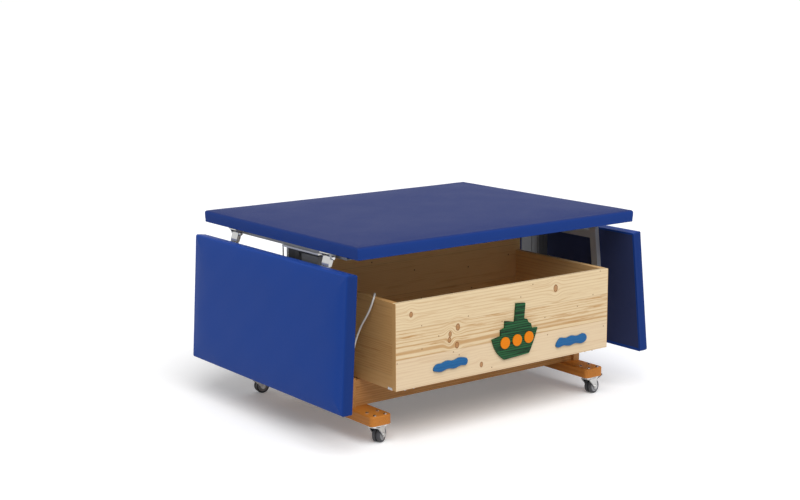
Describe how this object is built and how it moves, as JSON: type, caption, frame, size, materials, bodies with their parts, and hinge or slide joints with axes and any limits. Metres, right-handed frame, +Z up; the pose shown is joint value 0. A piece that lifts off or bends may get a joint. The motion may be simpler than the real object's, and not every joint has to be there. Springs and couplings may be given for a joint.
{
  "type": "children's care couch with toy drawer",
  "caption": "Low height-adjustable care couch on castors with drop-down end leaves, side lifting columns and a wooden toy drawer in its base",
  "frame": {"origin": "on the floor under the middle of the object's overall box, its free mains lead left out", "axes": "+X along the couch to the right as seen from the drawer side, +Y from the drawer side to the back, +Z up"},
  "size_m": [1.3584, 0.976, 0.679],
  "materials": {
    "blue_leatherette": "satin",
    "birch_board": "matte",
    "dark_steel": "satin",
    "column_grey": "satin",
    "zinc": "satin",
    "bright_steel": "polished",
    "pine": "satin",
    "stained_pine": "satin",
    "black_plastic": "matte",
    "grey_tread": "matte",
    "white_plastic": "satin",
    "black_rubber": "matte",
    "green_paint": "satin",
    "orange_paint": "satin",
    "blue_paint": "satin"
  },
  "bodies": {
    "base": {"foot_left": "stained_pine", "foot_right": "stained_pine", "side_board_left": "stained_pine", "side_board_right": "stained_pine", "front_rail": "stained_pine", "rear_rail": "stained_pine", "slide_bearers": "stained_pine", "slide_channels": "zinc", "column_tube_left": "column_grey", "column_tube_right": "column_grey", "cross_tie": "dark_steel", "tie_buffers": "black_rubber", "control_box": "black_plastic", "cord_gland": "black_plastic", "mains_cord": "white_plastic", "cord_coil": "white_plastic", "mains_plug": "white_plastic", "castor_plates": "zinc", "castor_bolts": "bright_steel"},
    "top": {"top_pad": "blue_leatherette", "top_board": "birch_board", "top_side_rails": "dark_steel", "top_cross_rails": "dark_steel", "column_inner_left": "column_grey", "column_inner_right": "column_grey", "head_plates": "zinc", "lift_motors": "dark_steel", "hinge_brackets": "zinc", "hinge_pins": "bright_steel"},
    "leaf_left": {"leaf_left_pad": "blue_leatherette", "leaf_left_board": "birch_board", "leaf_left_arms": "dark_steel", "leaf_left_cross_rail": "dark_steel", "leaf_left_hinges": "zinc"},
    "leaf_right": {"leaf_right_pad": "blue_leatherette", "leaf_right_board": "birch_board", "leaf_right_arms": "dark_steel", "leaf_right_cross_rail": "dark_steel", "leaf_right_hinges": "zinc"},
    "drawer": {"drawer_front": "pine", "drawer_side_left": "pine", "drawer_side_right": "pine", "drawer_back": "pine", "drawer_floor": "birch_board", "drawer_rails": "zinc", "ship": "green_paint", "portholes": "orange_paint", "waves": "blue_paint"},
    "slide_mid": {"slide_mids": "zinc"},
    "castor_fork_front_left": {"castor_fork_front_left": "zinc"},
    "castor_wheel_front_left": {"castor_wheel_front_left": "grey_tread"},
    "castor_fork_front_right": {"castor_fork_front_right": "zinc"},
    "castor_wheel_front_right": {"castor_wheel_front_right": "grey_tread"},
    "brake_pedal_front_right": {"brake_pedal_front_right": "black_plastic"},
    "castor_fork_rear_left": {"castor_fork_rear_left": "zinc"},
    "castor_wheel_rear_left": {"castor_wheel_rear_left": "grey_tread"},
    "brake_pedal_rear_left": {"brake_pedal_rear_left": "black_plastic"},
    "castor_fork_rear_right": {"castor_fork_rear_right": "zinc"},
    "castor_wheel_rear_right": {"castor_wheel_rear_right": "grey_tread"}
  },
  "joints": [
    {"name": "lift", "type": "slide", "parent": "base", "child": "top", "axis": [0, 0, 1], "range_m": [0, 0.3]},
    {"name": "leaf_left_fold", "type": "hinge", "parent": "top", "child": "leaf_left", "pos_m": [-0.58926, 0.01, 0.6115], "axis": [0, 1, 0], "range_deg": [0, 86.6]},
    {"name": "leaf_right_fold", "type": "hinge", "parent": "top", "child": "leaf_right", "pos_m": [0.56774, 0.01, 0.6115], "axis": [0, -1, 0], "range_deg": [0, 83.6]},
    {"name": "drawer_slide", "type": "slide", "parent": "base", "child": "drawer", "axis": [0, -1, 0], "range_m": [0, 0.3]},
    {"name": "slide_mid_run", "type": "slide", "parent": "base", "child": "slide_mid", "axis": [0, -1, 0], "range_m": [0, 0.15]},
    {"name": "swivel_front_left", "type": "hinge", "parent": "base", "child": "castor_fork_front_left", "pos_m": [-0.48526, -0.382, 0.068], "axis": [0, 0, 1], "continuous": true},
    {"name": "wheel_front_left", "type": "hinge", "parent": "castor_fork_front_left", "child": "castor_wheel_front_left", "pos_m": [-0.4676, -0.37261, 0.025], "axis": [-0.4695, 0.8829, 0], "continuous": true},
    {"name": "swivel_front_right", "type": "hinge", "parent": "base", "child": "castor_fork_front_right", "pos_m": [0.46374, -0.382, 0.068], "axis": [0, 0, 1], "continuous": true},
    {"name": "wheel_front_right", "type": "hinge", "parent": "castor_fork_front_right", "child": "castor_wheel_front_right", "pos_m": [0.48344, -0.37853, 0.025], "axis": [-0.1736, 0.9848, 0], "continuous": true},
    {"name": "pedal_front_right", "type": "hinge", "parent": "castor_fork_front_right", "child": "brake_pedal_front_right", "pos_m": [0.49427, -0.37662, 0.054], "axis": [-0.1736, 0.9848, 0], "range_deg": [0, 10]},
    {"name": "swivel_rear_left", "type": "hinge", "parent": "base", "child": "castor_fork_rear_left", "pos_m": [-0.48526, 0.362, 0.068], "axis": [0, 0, 1], "continuous": true},
    {"name": "wheel_rear_left", "type": "hinge", "parent": "castor_fork_rear_left", "child": "castor_wheel_rear_left", "pos_m": [-0.46557, 0.35853, 0.025], "axis": [0.1736, 0.9848, 0], "continuous": true},
    {"name": "pedal_rear_left", "type": "hinge", "parent": "castor_fork_rear_left", "child": "brake_pedal_rear_left", "pos_m": [-0.45473, 0.35662, 0.054], "axis": [0.1736, 0.9848, 0], "range_deg": [0, 10]},
    {"name": "swivel_rear_right", "type": "hinge", "parent": "base", "child": "castor_fork_rear_right", "pos_m": [0.46374, 0.362, 0.068], "axis": [0, 0, 1], "continuous": true},
    {"name": "wheel_rear_right", "type": "hinge", "parent": "castor_fork_rear_right", "child": "castor_wheel_rear_right", "pos_m": [0.48366, 0.36374, 0.025], "axis": [-0.0872, 0.9962, 0], "continuous": true}
  ],
  "couplings": [
    {"joint": "slide_mid_run", "follows": "drawer_slide", "ratio": 0.5}
  ]
}
